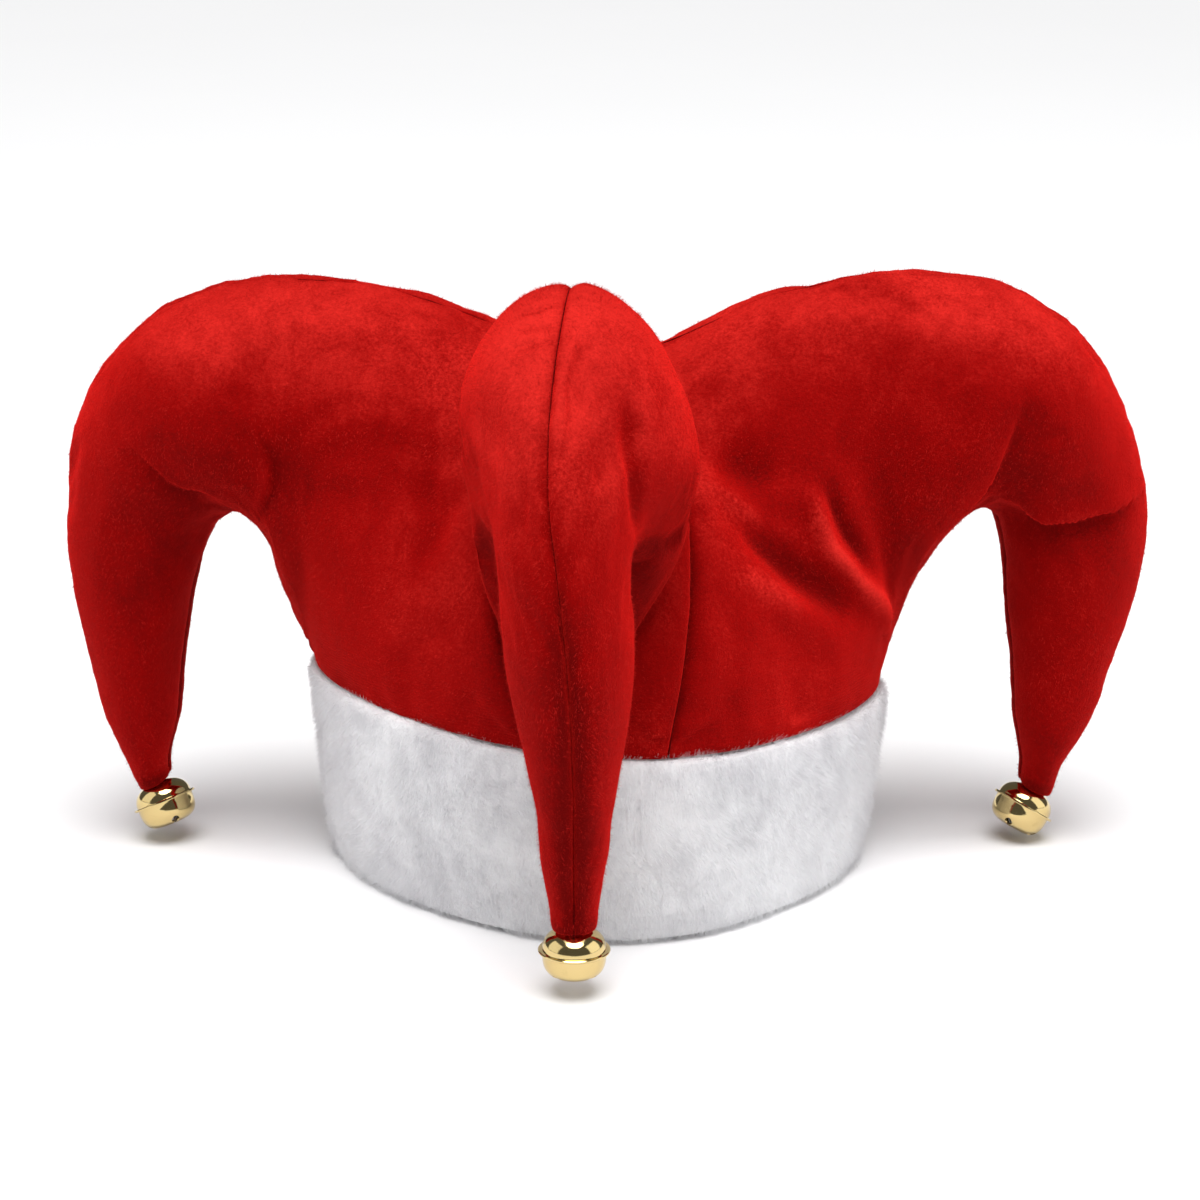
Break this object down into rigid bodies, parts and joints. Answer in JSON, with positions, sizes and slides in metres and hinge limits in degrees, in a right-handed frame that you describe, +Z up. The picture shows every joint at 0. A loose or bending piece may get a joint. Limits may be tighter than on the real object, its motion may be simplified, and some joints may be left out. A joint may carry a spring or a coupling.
{
  "type": "jester hat",
  "caption": "Soft jester hat of red velour whose stuffed horns arch outwards and hang, with a white plush cuff round the rim and a brass jingle bell at each horn's tip",
  "frame": {"origin": "middle of the bounding box's footprint, on the surface that the cuff stands on", "axes": "+Z up, +X towards the wearer's left, the front horn towards -Y"},
  "size_m": [0.378, 0.2342, 0.2213],
  "materials": {
    "velour": "short-pile red velour with a brushed nap",
    "plush": "white short-hair plush, slightly matted",
    "bell_brass": "bright polished pale brass plating",
    "pellet_steel": "dull steel"
  },
  "bodies": {
    "root": {"panel_left_front": "velour", "panel_left_back": "velour", "panel_right_front": "velour", "panel_right_back": "velour", "panel_front_left": "velour", "panel_front_right": "velour", "cuff": "plush", "bell_left": "bell_brass", "pellet_left": "pellet_steel", "bell_right": "bell_brass", "pellet_right": "pellet_steel", "bell_front": "bell_brass", "pellet_front": "pellet_steel"}
  },
  "joints": []
}
